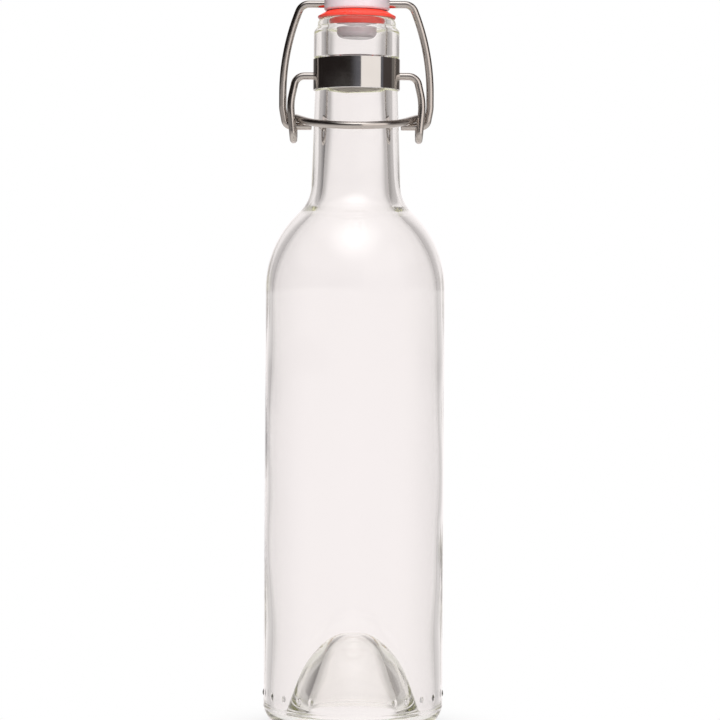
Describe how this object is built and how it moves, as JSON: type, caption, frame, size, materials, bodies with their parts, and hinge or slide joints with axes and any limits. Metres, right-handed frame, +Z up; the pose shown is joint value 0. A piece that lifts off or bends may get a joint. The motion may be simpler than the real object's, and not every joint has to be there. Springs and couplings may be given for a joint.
{
  "type": "growler",
  "caption": "Small clear-glass swing-top bottle: slim straight body, round shoulder, wire lever and bail, stopper cap with rubber gasket.",
  "frame": {"origin": "centre of the base, on the plane the bottle stands on", "axes": "+Z up along the bottle's axis, +X towards one side of the closure's pivot line, the lever's handle on the -Y side"},
  "size_m": [0.06, 0.06, 0.253],
  "materials": {
    "glass": "clear, polished",
    "band_steel": "bright rolled strip",
    "wire_steel": "bright drawn wire",
    "cap_plastic": "gloss",
    "gasket_rubber": "satin"
  },
  "bodies": {
    "bottle": {"bottle_glass": "glass"},
    "collar": {"neck_band": "band_steel"},
    "lever": {"lever_wire": "wire_steel"},
    "bail": {"bail_wire": "wire_steel"},
    "stopper": {"stopper_cap": "cap_plastic", "stopper_gasket": "gasket_rubber"}
  },
  "joints": [
    {"name": "collar_turn", "type": "hinge", "parent": "bottle", "child": "collar", "pos_m": [0, 0, 0.2178], "axis": [0, 0, 1], "continuous": true},
    {"name": "lever_swing", "type": "hinge", "parent": "collar", "child": "lever", "pos_m": [0, 0, 0.2178], "axis": [-1, 0, 0], "range_deg": [0, 165]},
    {"name": "bail_swing", "type": "hinge", "parent": "lever", "child": "bail", "pos_m": [0, 0.0022, 0.2011], "axis": [-1, 0, 0], "range_deg": [-98, 0.5]},
    {"name": "stopper_tilt", "type": "hinge", "parent": "bail", "child": "stopper", "pos_m": [0, 0, 0.2419], "axis": [-1, 0, 0], "range_deg": [-68, 0.5]}
  ],
  "couplings": [
    {"joint": "bail_swing", "follows": "lever_swing", "ratio": -0.5897},
    {"joint": "stopper_tilt", "follows": "lever_swing", "ratio": -0.4103}
  ]
}
